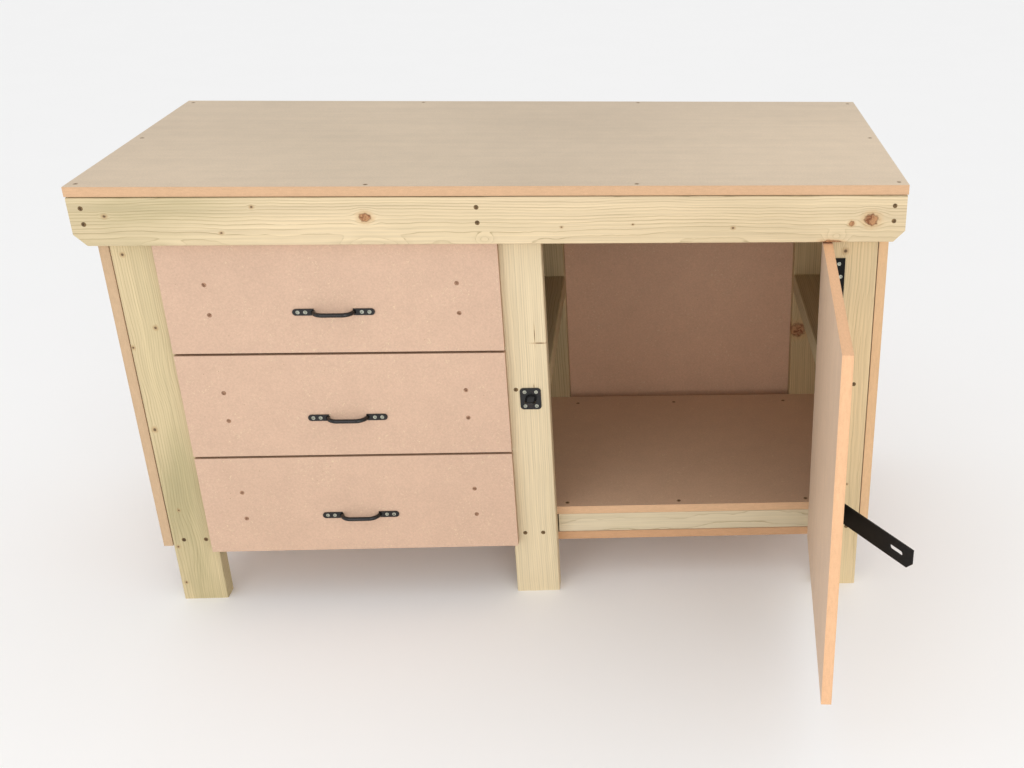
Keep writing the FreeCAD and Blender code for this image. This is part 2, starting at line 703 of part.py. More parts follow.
def hinge_plate(tag, z):
    """The plate on the leg, with the knuckles above and below the strap's."""
    plate_y = "plank - steel"
    clear = "(knuckle_radius + knuckle_clearance)"
    pieces = [box(
        f"{tag}_plate_flat", (f"hinge_plate_width - {clear}", "steel", "hinge_height"),
        (f"{PIVOT_X} + {clear}", plate_y, f"{z} - hinge_height / 2"))]
    ear = f"(hinge_height / 2 - {KNUCKLE_HALF} - moving_gap)"
    for name, low in (("low", f"{z} - hinge_height / 2"), ("high", f"{z} + {KNUCKLE_HALF} + moving_gap")):
        pieces.append(box(
            f"{tag}_plate_{name}_tab", (clear, "steel", ear), (PIVOT_X, plate_y, low)))
        pieces.append(rod(
            f"{tag}_plate_{name}_knuckle", "knuckle_radius", ear,
            (PIVOT_X, "plank - pivot_from_face", low)))
    bore = rod(
        f"{tag}_plate_bore", "pin_radius + pin_clearance", "hinge_height + 2 * overcut",
        (PIVOT_X, "plank - pivot_from_face", f"{z} - hinge_height / 2 - overcut"))
    return cut(f"{tag}_hinge_plate", fuse(f"{tag}_plate_fused", pieces), bore)


def hinge_strap(tag, z):
    """The tapering strap on the door, with the middle knuckle."""
    taper = "(hinge_strap_root - hinge_strap_tip) / 2"
    corners = [
        ("0", taper), ("hinge_strap_length", "0"), ("hinge_strap_length", "hinge_strap_root"),
        ("0", f"hinge_strap_root - {taper}"),
    ]
    flat = slab(f"{tag}_strap_flat", corners, "steel", role="XZ_Plane")
    low = f"{z} - hinge_strap_root / 2"
    place(flat, ("-hinge_strap_length", f"{DOOR_FACE} - steel", low), "door")
    knuckle = rod(f"{tag}_strap_knuckle", "knuckle_radius", "hinge_strap_root", ("0", "0", low), "door")
    bore = rod(
        f"{tag}_strap_bore", "pin_radius + pin_clearance", "hinge_strap_root + 2 * overcut",
        ("0", "0", f"{low} - overcut"), "door")
    return cut(f"{tag}_hinge_strap", fuse(f"{tag}_strap_fused", [flat, knuckle]), bore)


hinges = {"upper": "upper_hinge_z", "lower": "lower_hinge_z"}
plates = group("hinge_plate_pair", [hinge_plate(tag, z) for tag, z in hinges.items()])
drilled("hinge_plates", plates, [bench_small_screws])
pins = [
    rod(f"{tag}_hinge_pin", "pin_radius", "hinge_height",
        (PIVOT_X, "plank - pivot_from_face", f"{z} - hinge_height / 2"))
    for tag, z in hinges.items()
]
node(group("hinge_pins", pins), "hinge_pins")

door_face = dim("pivot_from_face") - dim("moving_gap")
strap_face = door_face - dim("steel")
hasp_x = -(dim("door_edge_gap") + dim("door_width") - dim("hasp_from_edge"))
strap_holes = ((30, 11), (30, -11), (105, 0), (190, 0), (280, 0))
leaf_holes = ((18, 11), (18, -11), (48, 11), (48, -11))
strap_places = [((-reach, strap_face, z + rise), FRONT)
                for z in hardware_z.values() for reach, rise in strap_holes]
leaf_places = [((hasp_x + across, strap_face, dim("hasp_z") + rise), FRONT) for across, rise in leaf_holes]
door_small_screws = ScrewSet(
    "door_small_screws", strap_places + leaf_places, 17, size="small", frame="door")

straps = group("hinge_strap_pair", [hinge_strap(tag, z) for tag, z in hinges.items()])
drilled("hinge_straps", straps, [door_small_screws])

# ---------------------------------------------------------------- door

door = sheet_board(
    "door_panel", ("door_width", "board", "door_height"),
    ("-door_edge_gap - door_width", DOOR_FACE, "door_z"), "door")
drilled("door_panel", door, [door_small_screws])

# ---------------------------------------------------------------- hasp and staple

LEAF_CLEAR = "(hasp_knuckle_radius + knuckle_clearance)"
leaf_pieces = [box(
    "leaf_flat", (f"hasp_leaf_length - {LEAF_CLEAR}", "steel", "hasp_height"),
    (f"{HASP_X} + {LEAF_CLEAR}", f"{DOOR_FACE} - steel", "hasp_z - hasp_height / 2"), "door")]
leaf_ear = "(hasp_height / 2 - hasp_knuckle_half - moving_gap)"
for name, low in (("low", "hasp_z - hasp_height / 2"), ("high", "hasp_z + hasp_knuckle_half + moving_gap")):
    leaf_pieces.append(box(
        f"leaf_{name}_tab", (LEAF_CLEAR, "steel", leaf_ear), (HASP_X, f"{DOOR_FACE} - steel", low), "door"))
    leaf_pieces.append(rod(
        f"leaf_{name}_knuckle", "hasp_knuckle_radius", leaf_ear, (HASP_X, "0", low), "door"))
leaf_pieces.append(rod(
    "leaf_pin", "hasp_pin_radius", "hasp_height", (HASP_X, "0", "hasp_z - hasp_height / 2"), "door"))
drilled("hasp_leaf", fuse("hasp_leaf_fused", leaf_pieces), [door_small_screws])
screw_node("door_hardware_screws", [door_small_screws])

# In the hasp's frame its pin is the origin and the shut strap runs towards -X.
STRAP_BACK = "(pivot_from_face - steel - moving_gap)"
STRAP_FLAT = f"(hasp_strap_length - {LEAF_CLEAR})"
strap_corners = [
    ("hasp_snip", "0"), (STRAP_FLAT, "0"), (STRAP_FLAT, "hasp_height"), ("0", "hasp_height"),
    ("0", "hasp_snip"),
]
strap_flat = slab("hasp_strap_flat", strap_corners, "steel", role="XZ_Plane")
place(strap_flat, ("-hasp_strap_length", f"{STRAP_BACK} - steel", "hasp_z - hasp_height / 2"), "hasp")
strap_tab = box(
    "hasp_strap_tab", (LEAF_CLEAR, "steel", "2 * hasp_knuckle_half"),
    (f"-{LEAF_CLEAR}", f"{STRAP_BACK} - steel", "hasp_z - hasp_knuckle_half"), "hasp")
strap_knuckle = rod(
    "hasp_strap_knuckle", "hasp_knuckle_radius", "2 * hasp_knuckle_half",
    ("0", "0", "hasp_z - hasp_knuckle_half"), "hasp")
strap_body = fuse("hasp_strap_fused", [strap_flat, strap_tab, strap_knuckle])

SLOT_X = f"(staple_x - ({PIVOT_X} + {HASP_X}))"
slot_box = box(
    "hasp_slot_middle", ("hasp_slot - hasp_slot_height", "3 * steel", "hasp_slot_height"),
    (f"{SLOT_X} - (hasp_slot - hasp_slot_height) / 2", f"{STRAP_BACK} - 2 * steel",
     "hasp_z - hasp_slot_height / 2"), "hasp")
slot_ends = []
for name, sign in (("near", 1), ("far", -1)):
    end = doc.addObject("Part::Cylinder", f"hasp_slot_{name}")
    bind(end, "Radius", "hasp_slot_height / 2")
    bind(end, "Height", "3 * steel")
    end_x = f"{SLOT_X} + {sign} * (hasp_slot - hasp_slot_height) / 2"
    place(end, (end_x, f"{STRAP_BACK} + steel", "hasp_z"), "hasp")
    slot_ends.append(end)
bore = rod(
    "hasp_strap_bore", "hasp_pin_radius + pin_clearance", "2 * hasp_knuckle_half + 2 * overcut",
    ("0", "0", "hasp_z - hasp_knuckle_half - overcut"), "hasp")

STAPLE_LEFT = "staple_x - staple_width / 2"
staple_plate = sheet_board(
    "staple_plate", ("staple_width", "steel", "staple_height"),
    (STAPLE_LEFT, "plank - steel", "hasp_z - staple_below"))
blanks.append((staple_plate, "y", "staple_corner"))
loop_pieces = [staple_plate]
for side, sign in (("left", -1), ("right", 1)):
    leg = rod(
        f"staple_leg_{side}", "staple_wire", "staple_leg + steel / 2",
        (f"staple_x + {sign} * staple_half_span", "plank - steel / 2", "hasp_z"))
    leg.Placement.Rotation = LYING
    loop_pieces.append(leg)
loop = doc.addObject("Part::Torus", "staple_loop")
bind(loop, "Radius1", "staple_half_span")
bind(loop, "Radius2", "staple_wire")
loop.Angle3 = 180
place(loop, ("staple_x", "plank - steel - staple_leg", "hasp_z"))
loop.Placement.Rotation = FreeCAD.Rotation(FreeCAD.Vector(0, 0, 1), 180)
loop_pieces.append(loop)

round_long_edges()

# The slot's round ends lie along the strap's thickness, so they turn upright first and then with the hasp.
hasp_turn = FreeCAD.Rotation(FreeCAD.Vector(0, 0, 1), dim("door_open") + dim("hasp_open"))
for end in slot_ends:
    end.setExpression("Placement.Rotation.Angle", None)
    end.Placement.Rotation = hasp_turn * LYING
slot = fuse("hasp_slot", [slot_box] + slot_ends)
node(cut("hasp_strap", cut("hasp_strap_bored", strap_body, bore), slot), "hasp_strap")

drilled("hasp_staple", fuse("hasp_staple_fused", loop_pieces), [bench_small_screws])
screw_node("bench_hardware_screws", [bench_small_screws])

# ---------------------------------------------------------------- checks and files

doc.recompute()

for item in doc.Objects:
    if "Invalid" in item.State or "Error" in item.State:
        raise RuntimeError(f"{item.Label} failed: {item.State}")
for item in nodes:
    if item.Shape.isNull() or not item.Shape.isValid():
        raise RuntimeError(f"{item.Label} has no valid shape")
    if not item.Shape.Solids:
        raise RuntimeError(f"{item.Label} has no solid")

for item in nodes:
    item.Shape.exportStep(f"parts/{item.Label}.step")
whole = Part.makeCompound([item.Shape for item in nodes]).BoundBox
extents = (whole.XMin, whole.XMax, whole.YMin, whole.YMax, whole.ZMin, whole.ZMax)
print(len(nodes), "sub-parts; box", [round(value, 2) for value in extents])
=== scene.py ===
import math

import bpy
from mathutils import Matrix, Vector


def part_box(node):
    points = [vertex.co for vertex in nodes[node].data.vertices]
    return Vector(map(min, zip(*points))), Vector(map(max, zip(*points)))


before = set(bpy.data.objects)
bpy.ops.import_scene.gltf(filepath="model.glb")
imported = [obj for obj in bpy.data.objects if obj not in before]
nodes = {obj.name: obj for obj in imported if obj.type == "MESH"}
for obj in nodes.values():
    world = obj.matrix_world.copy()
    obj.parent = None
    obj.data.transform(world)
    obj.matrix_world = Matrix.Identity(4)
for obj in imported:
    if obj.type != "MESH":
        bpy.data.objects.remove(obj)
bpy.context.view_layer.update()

X, Y, Z = 0, 1, 2
DRAWERS = ("bottom", "middle", "top")
STUDIO_SHARE = 0.86


def srgb(red, green, blue, share=STUDIO_SHARE):
    """Linear reflectance of a surface that shows these 0-255 display values in the studio's light. A white
    floor shows white in it, so a surface reflects a share of what its display values alone would mean."""

    def linear(value):
        value /= 255
        return share * (value / 12.92 if value <= 0.04045 else ((value + 0.055) / 1.055) ** 2.4)

    return linear(red), linear(green), linear(blue), 1.0


class Graph:
    """One material's nodes. A method's arguments may be plain values or other nodes' sockets."""

    def __init__(self, name):
        self.material = bpy.data.materials.new(name)
        self.material.use_nodes = True
        self.tree = self.material.node_tree
        self.tree.nodes.clear()
        output = self.tree.nodes.new("ShaderNodeOutputMaterial")
        self.shader = self.tree.nodes.new("ShaderNodeBsdfPrincipled")
        self.tree.links.new(self.shader.outputs["BSDF"], output.inputs["Surface"])
        where = self.tree.nodes.new("ShaderNodeTexCoord")
        self.place = where.outputs["Object"]
        self.facing = where.outputs["Normal"]

    def feed(self, socket, value):
        if isinstance(value, bpy.types.NodeSocket):
            self.tree.links.new(value, socket)
        else:
            socket.default_value = value

    def surface(self, inputs):
        """Sets the shader's inputs by name: plain values on its own sockets, the others by a link."""
        for name, value in inputs.items():
            self.feed(self.shader.inputs[name], value)

    def math(self, operation, *values):
        node = self.tree.nodes.new("ShaderNodeMath")
        node.operation = operation
        for socket, value in zip(node.inputs, values):
            self.feed(socket, value)
        return node.outputs[0]

    def vector(self, operation, *values):
        node = self.tree.nodes.new("ShaderNodeVectorMath")
        node.operation = operation
        for socket, value in zip(node.inputs, values):
            self.feed(socket, value)
        return node.outputs["Value" if operation in ("LENGTH", "DOT_PRODUCT") else "Vector"]

    def split(self, vector):
        node = self.tree.nodes.new("ShaderNodeSeparateXYZ")
        self.feed(node.inputs[0], vector)
        return list(node.outputs)

    def stretched(self, scales, shift=(0.0, 0.0, 0.0)):
        """The place in the object, scaled by axis and then shifted."""
        return self.vector("MULTIPLY_ADD", self.place, tuple(scales), tuple(shift))

    def noise(self, place, scale, detail=2.0, roughness=0.5, distortion=0.0):
        node = self.tree.nodes.new("ShaderNodeTexNoise")
        self.feed(node.inputs["Vector"], place)
        node.inputs["Scale"].default_value = scale
        node.inputs["Detail"].default_value = detail
        node.inputs["Roughness"].default_value = roughness
        node.inputs["Distortion"].default_value = distortion
        return node.outputs["Fac"]

    def dots(self, place, scale):
        """Distance to the nearest of a field of scattered points."""
        node = self.tree.nodes.new("ShaderNodeTexVoronoi")
        self.feed(node.inputs["Vector"], place)
        node.inputs["Scale"].default_value = scale
        return node.outputs["Distance"]

    def remap(self, value, start, end, low=0.0, high=1.0):
        """Smooth step from low at start to high at end, held outside them."""
        node = self.tree.nodes.new("ShaderNodeMapRange")
        node.interpolation_type = "SMOOTHSTEP"
        for number, entry in enumerate((value, start, end, low, high)):
            self.feed(node.inputs[number], entry)
        return node.outputs["Result"]

    def mix(self, factor, first, second):
        node = self.tree.nodes.new("ShaderNodeMix")
        node.data_type = "RGBA"
        self.feed(node.inputs["Factor"], factor)
        self.feed(node.inputs[6], first)
        self.feed(node.inputs[7], second)
        return node.outputs[2]

    def scaled(self, colour, factor):
        node = self.tree.nodes.new("ShaderNodeVectorMath")
        node.operation = "SCALE"
        self.feed(node.inputs[0], colour[:3] if isinstance(colour, tuple) else colour)
        self.feed(node.inputs["Scale"], factor)
        return node.outputs["Vector"]

    def bump(self, height, distance, strength):
        node = self.tree.nodes.new("ShaderNodeBump")
        node.inputs["Strength"].default_value = strength
        node.inputs["Distance"].default_value = distance
        self.feed(node.inputs["Height"], height)
        self.feed(self.shader.inputs["Normal"], node.outputs["Normal"])


def coat(graph, *names):
    """Gives the material to nodes."""
    for name in names:
        piece = nodes[name]
        if piece.material_slots:
            for entry in piece.material_slots:
                entry.material = graph.material
        else:
            piece.data.materials.append(graph.material)


# ---------------------------------------------------------------- treated pine

EARLYWOOD = srgb(230, 212, 172)
GREENED = srgb(200, 186, 142)
LATEWOOD = srgb(150, 128, 84)
KNOT_HALO = srgb(216, 172, 118)
KNOT_BROWN = srgb(196, 146, 102)
KNOT_HEART = srgb(138, 86, 54)
KNOT_RIM = srgb(112, 78, 50)
PIN_HALO = srgb(186, 144, 96)
PIN_DARK = srgb(88, 66, 44)
CREST = 0.955       # how far through a growth ring its line is darkest


class Pine(Graph):
    """Sawn and planed treated pine, with its grain along one axis and a face that lies along it and another.

    Growth rings are cylinders about the pith, which lies off the timber's centre by (across the face, into
    the depth). Each knot or pin is (along, across, half length, half width), and the rings part round it. A
    swirl is the same with a last number: how far it pushes the rings. strength is how dark the rings are, and
    drift how far they wander. green is how green the preservative leaves the wood. The last argument says
    where along the timber the wood is greenest and darkest and where that has faded: partly the
    preservative's green, partly painted shade on the end that lies in shade."""

    def __init__(
        self, node, along, face, pith, spacing=0.0052, knots=(), pins=(), swirls=(), green=0.4,
        tint=EARLYWOOD, strength=0.8, drift=0.008, greening=None,
    ):
        super().__init__("pine_" + node)
        low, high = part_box(node)
        self.along, self.face, self.strength = along, face, strength
        self.centre = (low + high) / 2
        self.seed = 7.3 * self.centre.x + 3.1 * self.centre.y + 11.7 * self.centre.z
        self.coords = self.split(self.place)
        # Greener and darker towards one end: the preservative's green, with painted shade there too.
        if greening is not None:
            green = self.remap(self.coords[along], greening[0], greening[1], 1.0, green)

        radius, slope = self.rings(pith, drift)
        for place in knots:
            radius = self.parted(radius, slope, place, 3.0, place[3] * 0.95)
        for place in pins:
            radius = self.parted(radius, slope, place, 4.0, min(place[2], place[3]) * 0.9)
        for *place, push in swirls:
            radius = self.math("ADD", radius, self.remap(self.nearest([place]), 0.0, 1.0, push, 0.0))
        line, soft = self.ring_lines(radius, slope, spacing)

        fibre = self.noise(self.drawn_out(14.0, 1400.0), 1.0, 3.0, 0.6)
        ragged = self.noise(self.stretched((150.0, 150.0, 150.0)), 1.0, 3.0)
        height = self.math("MULTIPLY_ADD", line, 1.6, fibre)
        colour = self.clear_wood(self.math("ADD", line, soft), fibre, green, tint)
        if knots:
            edge = self.math("MULTIPLY_ADD", self.math("SUBTRACT", ragged, 0.35), 0.95, self.nearest(knots))
            colour = self.with_knots(colour, edge)
        if pins:
            edge = self.math("MULTIPLY_ADD", self.math("SUBTRACT", ragged, 0.4), 0.8, self.nearest(pins))
            colour = self.mix(self.remap(edge, 0.8, 2.6, 0.55, 0.0), colour, PIN_HALO)
            colour = self.mix(self.remap(edge, 0.5, 1.15, 0.85, 0.0), colour, PIN_DARK)
            height = self.math("SUBTRACT", height, self.remap(edge, 0.5, 1.2, 3.0, 0.0))

        roughness = self.remap(fibre, 0.2, 0.8, 0.55, 0.72)
        self.surface({"Base Color": colour, "Roughness": roughness, "Specular IOR Level": 0.3})
        self.bump(height, 0.00012, 0.8)

    def drawn_out(self, lengthways, across, shift=(0.0, 0.0, 0.0)):
        """The place in the object, scaled so that a noise is drawn out along the grain."""
        scales = [lengthways if axis == self.along else across for axis in (X, Y, Z)]
        return self.stretched(scales, shift)

    def wavering(self, lengthways, across, shift, detail=2.0):
        """Noise on both sides of zero."""
        return self.math("SUBTRACT", self.noise(self.drawn_out(lengthways, across, shift), 1.0, detail), 0.5)

    def offset(self, at_along, at_across, half_length, half_width):
        """Offset from the middle of an ellipse on the face, where its outline is at 1."""
        scale, shift = [0.0] * 3, [0.0] * 3
        scale[self.along], scale[self.face] = 1 / half_length, 1 / half_width
        shift[self.along], shift[self.face] = -at_along / half_length, -at_across / half_width
        return self.stretched(scale, shift)

    def nearest(self, places):
        """Distance to the nearest ellipse's middle, where its outline is at 1."""
        distances = [self.vector("LENGTH", self.offset(*place)) for place in places]
        nearest = distances[0]
        for distance in distances[1:]:
            nearest = self.math("MINIMUM", nearest, distance)
        return nearest

    def rings(self, pith, drift):
        """Distance from the pith, with slow and quick wandering, and its slope across the face."""
        seed, deep = self.seed, 3 - self.along - self.face
        across = self.math("SUBTRACT", self.coords[self.face], self.centre[self.face] + pith[0])
        across = self.math("MULTIPLY_ADD", self.wavering(1.6, 3.0, (seed, seed, seed)), 0.03, across)
        into = self.math("SUBTRACT", self.coords[deep], self.centre[deep] + pith[1])
        squares = self.math("ADD", self.math("MULTIPLY", across, across), self.math("MULTIPLY", into, into))
        radius = self.math("SQRT", squares)
        slope = self.math("DIVIDE", across, radius)
        radius = self.math("MULTIPLY_ADD", self.wavering(3.4, 6.0, (0, seed, seed)), drift * 2.2, radius)
        radius = self.math("MULTIPLY_ADD", self.wavering(14.0, 18.0, (seed, 0, seed), 3.0), 0.0042, radius)
        return radius, slope

    def parted(self, radius, slope, place, reach, push):
        """Bends the rings round a knot, away from its middle on either side."""
        offset = self.offset(place[0], place[1], place[2] * reach, place[3] * reach)
        strong = self.remap(self.vector("LENGTH", offset), 0.2, 1.0, push, 0.0)
        side = self.math("MULTIPLY", self.split(offset)[self.face], reach)
        side = self.math("MINIMUM", self.math("MAXIMUM", side, -1.0), 1.0)
        bend = self.math("MULTIPLY", self.math("MULTIPLY", side, strong), slope)
        return self.math("SUBTRACT", radius, bend)

    def ring_lines(self, radius, slope, spacing):
        """Each ring's dark line, whose width goes with the slope, and the soft shade that leads up to it."""
        phase = self.math("FRACT", self.math("DIVIDE", radius, spacing))
        start = self.remap(self.math("ABSOLUTE", slope), 0.0, 0.8, 0.86, 0.62)
        rise = self.remap(phase, start, CREST)
        fall = self.remap(phase, CREST, 1.0, 1.0, 0.0)
        line = self.math("POWER", self.math("MULTIPLY", rise, fall), 1.5)
        band = self.noise(self.drawn_out(1.6, 170.0, (0, self.seed, 0)), 1.0, 2.0)
        weight = self.remap(band, 0.34, 0.66, 0.15 * self.strength, self.strength)
        shade = self.math("MULTIPLY", fall, 0.16 * self.strength)
        return self.math("MULTIPLY", line, weight), self.math("MULTIPLY", self.remap(phase, 0.2, 0.95), shade)

    def clear_wood(self, dark, fibre, green, tint):
        """The wood's colour between knots: patchy green, the rings, long streaks and fine fibres."""
        seed = self.seed
        patch = self.noise(self.drawn_out(3.2, 11.0, (0, 0, seed)), 1.0, 3.0)
        streak = self.noise(self.drawn_out(2.6, 210.0, (seed, seed, 0)), 1.0, 4.0, 0.65)
        patchy_green = self.remap(patch, 0.35, 0.7, self.math("MULTIPLY", green, 0.35), green)
        colour = self.mix(dark, self.mix(patchy_green, tint, GREENED), LATEWOOD)
        colour = self.scaled(colour, self.remap(streak, 0.25, 0.75, 0.88, 1.07))
        return self.scaled(colour, self.remap(fibre, 0.2, 0.8, 0.93, 1.05))

    def with_knots(self, colour, edge):
        """Lays knots over the wood: a halo, a faintly ringed brown burr, and a dark broken rim."""
        colour = self.mix(self.remap(edge, 1.0, 2.2, 0.5, 0.0), colour, KNOT_HALO)
        burr = self.noise(self.stretched((95.0, 95.0, 95.0), (self.seed, 0, 0)), 1.0, 3.0, 0.6, 0.8)
        heart = self.mix(self.remap(burr, 0.42, 0.6), KNOT_BROWN, KNOT_HEART)
        heart_rings = self.remap(self.math("SINE", self.math("MULTIPLY", edge, 11.0)), -1.0, 1.0, 0.93, 1.05)
        heart = self.scaled(heart, heart_rings)
        colour = self.mix(self.remap(edge, 0.9, 1.25, 1.0, 0.0), colour, heart)
        rim = self.math("MULTIPLY", self.remap(edge, 0.84, 1.04), self.remap(edge, 1.04, 1.3, 0.4, 0.0))
        return self.mix(rim, colour, KNOT_RIM)


def timber(node, along, face, pith, **details):
    coat(Pine(node, along, face, pith, **details), node)


# ---------------------------------------------------------------- timbers

# The apron's left end and the left leg's foot are greener and darker, partly as painted shade.
timber(
    "front_apron", X, Z, (-0.046, 0.034), spacing=0.0042, green=0.22, tint=srgb(246, 223, 184), strength=0.52,
    drift=0.006, greening=(-0.74, -0.3),
    knots=[
        (-0.2345, 0.840, 0.0105, 0.0085),
        (0.684, 0.832, 0.0135, 0.0115),
        (0.648, 0.8245, 0.0055, 0.005),
        (0.611, 0.7885, 0.019, 0.0045),
    ],
    pins=[
        (-0.688, 0.8435, 0.0036, 0.003),
        (-0.4905, 0.812, 0.003, 0.0022),
        (-0.431, 0.860, 0.003, 0.0024),
        (0.115, 0.820, 0.002, 0.0016),
        (0.2445, 0.8245, 0.0016, 0.0014),
        (0.428, 0.817, 0.003, 0.0024),
    ],
    swirls=[
        (-0.223, 0.784, 0.090, 0.034, 0.016),
        (-0.025, 0.797, 0.028, 0.018, 0.009),
        (0.620, 0.798, 0.034, 0.022, 0.011),
        (-0.60, 0.786, 0.060, 0.018, 0.007),
    ],
)
timber(
    "left_front_leg", Z, X, (-0.075, 0.050), spacing=0.0031, tint=srgb(238, 216, 172), strength=0.45,
    drift=0.003, greening=(0.26, 0.83),
    pins=[
        (0.759, -0.687, 0.0032, 0.003),
        (0.614, -0.655, 0.0034, 0.003),
        (0.574, -0.7035, 0.003, 0.0026),
        (0.399, -0.696, 0.0042, 0.0034),
        (0.215, -0.683, 0.0024, 0.0022),
        (0.1285, -0.699, 0.0028, 0.0024),
        (0.041, -0.698, 0.0028, 0.0024),
    ],
    swirls=[(0.53, -0.665, 0.09, 0.05, 0.006), (0.14, -0.65, 0.12, 0.045, -0.010)],
)
timber(
    "middle_front_leg", Z, X, (-0.09, 0.06), spacing=0.0032, green=0.25, tint=srgb(245, 225, 188),
    strength=0.34, drift=0.003,
    pins=[
        (0.5745, 0.060, 0.0011, 0.011),
        (0.5905, 0.051, 0.0155, 0.0006),
        (0.482, 0.044, 0.004, 0.0006),
    ],
)
timber(
    "right_front_leg", Z, X, (0.055, 0.050), spacing=0.0034, green=0.35, tint=srgb(246, 220, 175),
    strength=0.4, drift=0.003,
    pins=[(0.758, 0.6455, 0.0042, 0.0042), (0.248, 0.6775, 0.002, 0.002)],
)
timber(
    "right_rear_leg", Z, X, (0.05, -0.05), spacing=0.0044, green=0.3, tint=srgb(214, 184, 138), strength=0.6,
    knots=[(0.358, 0.634, 0.018, 0.019)],
)
for name in ("left_rear_leg", "middle_rear_leg"):
    timber(name, Z, X, (0.055, -0.045), spacing=0.0042, tint=srgb(204, 178, 138), drift=0.003)
for name in ("left_side_apron", "right_side_apron", "middle_joist"):
    timber(name, Y, Z, (0.01, 0.04), spacing=0.0054)
timber("rear_apron", X, Z, (-0.03, -0.04), spacing=0.0054, knots=[(0.21, 0.83, 0.012, 0.01)])
# The side rails' darker tint is painted shade: they sit in shade under the worktop and inside the bench.
for side in ("left", "middle", "right"):
    for level in ("lower", "middle"):
        timber(f"{side}_{level}_side_rail", Y, X, (0.05, 0.05), spacing=0.0042, tint=srgb(194, 172, 136))
timber("cupboard_rails", X, Z, (0.05, 0.03), tint=srgb(234, 218, 188), strength=0.5)
timber("drawer_cleats", Y, Z, (0.0, 0.05), spacing=0.005)

# ---------------------------------------------------------------- MDF

FIBRE = srgb(246, 222, 184)
SPECK = srgb(128, 92, 62)


class Mdf(Graph):
    """Raw MDF: a smooth, faintly mottled face with pale fibres, and a furrier, warmer sawn edge.

    normal points through the board's thickness, and the board's middle plane is taken from the node. streak
    is the axis that soft bands run along. Each painted light patch is (place, reach, lift): painted light
    that makes a patch lighter by lift at its middle, or painted shade where lift is below zero."""

    def __init__(
        self, name, node, normal, face_colour, edge_colour, streak=None, specks=1.0, blotch=0.022, wipes=()
    ):
        super().__init__("mdf_" + name)
        normal = Vector(normal).normalized()
        turned = self.math("ABSOLUTE", self.vector("DOT_PRODUCT", self.facing, tuple(normal)))
        on_face = self.remap(turned, 0.55, 0.8)
        grain = self.noise(self.place, 300.0, 3.0, 0.7)
        fluff = self.noise(self.place, 900.0, 3.0, 0.7)
        face = self.flecked(self.smooth_face(face_colour, grain, streak, blotch, wipes), specks)
        edge = self.sawn_edge(edge_colour, fluff, node, normal)
        smooth = self.remap(grain, 0.25, 0.75, 0.5, 0.6)
        self.surface({
            "Base Color": self.mix(on_face, edge, face),
            "Roughness": self.remap(on_face, 0.0, 1.0, 0.86, smooth),
            "Specular IOR Level": 0.3,
        })
        rough = self.math("MULTIPLY", self.math("SUBTRACT", 1.0, on_face), fluff)
        self.bump(self.math("MULTIPLY_ADD", rough, 3.0, grain), 0.00006, 0.7)

    def smooth_face(self, colour, grain, streak, blotch, wipes):
        """The face's colour with its mottling, painted light patches and bands."""
        mottle = self.noise(self.place, 22.0, 4.0, 0.6)
        cloud = self.noise(self.stretched((2.4, 2.4, 2.4), (4.0, 1.0, 2.0)), 1.0, 2.0)
        face = self.scaled(colour, self.remap(mottle, 0.3, 0.7, 1 - blotch, 1 + blotch))
        face = self.scaled(face, self.remap(grain, 0.25, 0.75, 0.93, 1.07))
        face = self.scaled(face, self.remap(cloud, 0.3, 0.7, 0.97, 1.03))
        # Painted light: each patch lightens the face towards its middle, and a negative lift paints shade.
        for place, reach, lift in wipes:
            offset = self.vector("LENGTH", self.vector("SUBTRACT", self.place, tuple(place)))
            offset = self.math("MULTIPLY_ADD", self.math("SUBTRACT", cloud, 0.5), 0.5, offset)
            face = self.scaled(face, self.remap(offset, 0.0, reach, 1 + lift, 1.0))
        if streak is not None:
            scales = [46.0] * 3
            scales[streak] = 2.2
            band = self.noise(self.stretched(scales, (0.0, 3.0, 0.0)), 1.0, 4.0, 0.6)
            face = self.scaled(face, self.remap(band, 0.3, 0.7, 0.975, 1.025))
        return face

    def flecked(self, face, specks):
        """Lays curled pale fibres and a few brown specks over the face."""
        curl = self.noise(self.place, 210.0, 2.0, 0.5, 1.6)
        where = self.remap(self.noise(self.place, 17.0, 1.0), 0.42, 0.6, 0.3, 1.0)
        fleck = self.math("MULTIPLY", self.remap(curl, 0.61, 0.7, 0.0, 0.6 * specks), where)
        scattered = self.stretched((1.0, 1.0, 1.0), (0.37, 0.11, 0.53))
        dot = self.remap(self.dots(scattered, 48.0), 0.03, 0.055, 0.4 * specks, 0.0)
        return self.mix(dot, self.mix(fleck, face, FIBRE), SPECK)

    def sawn_edge(self, colour, fluff, node, normal):
        """The sawn edge's colour: darker towards both faces, in fine layers, with fluff and slow waves."""
        low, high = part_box(node)
        middle = ((low + high) / 2).dot(normal)
        through = self.math("SUBTRACT", self.vector("DOT_PRODUCT", self.place, tuple(normal)), middle)
        crust = self.remap(self.math("ABSOLUTE", through), 0.004, 0.009, 1.01, 0.965)
        flat = [(420.0 + 1500.0 * abs(component)) / 6 for component in normal]
        layer = self.noise(self.stretched(flat), 1.0, 4.0, 0.7)
        long_wave = self.noise(self.stretched((9.0, 9.0, 9.0), (5.0, 5.0, 5.0)), 1.0, 2.0)
        edge = self.scaled(colour, crust)
        edge = self.scaled(edge, self.remap(layer, 0.3, 0.7, 0.95, 1.05))
        edge = self.scaled(edge, self.remap(fluff, 0.25, 0.75, 0.93, 1.06))
        return self.scaled(edge, self.remap(long_wave, 0.3, 0.7, 0.985, 1.015))


def board(name, node, normal, face_colour, edge_colour, **details):
    coat(Mdf(name, node, normal, face_colour, edge_colour, **details), node)


# ---------------------------------------------------------------- boards

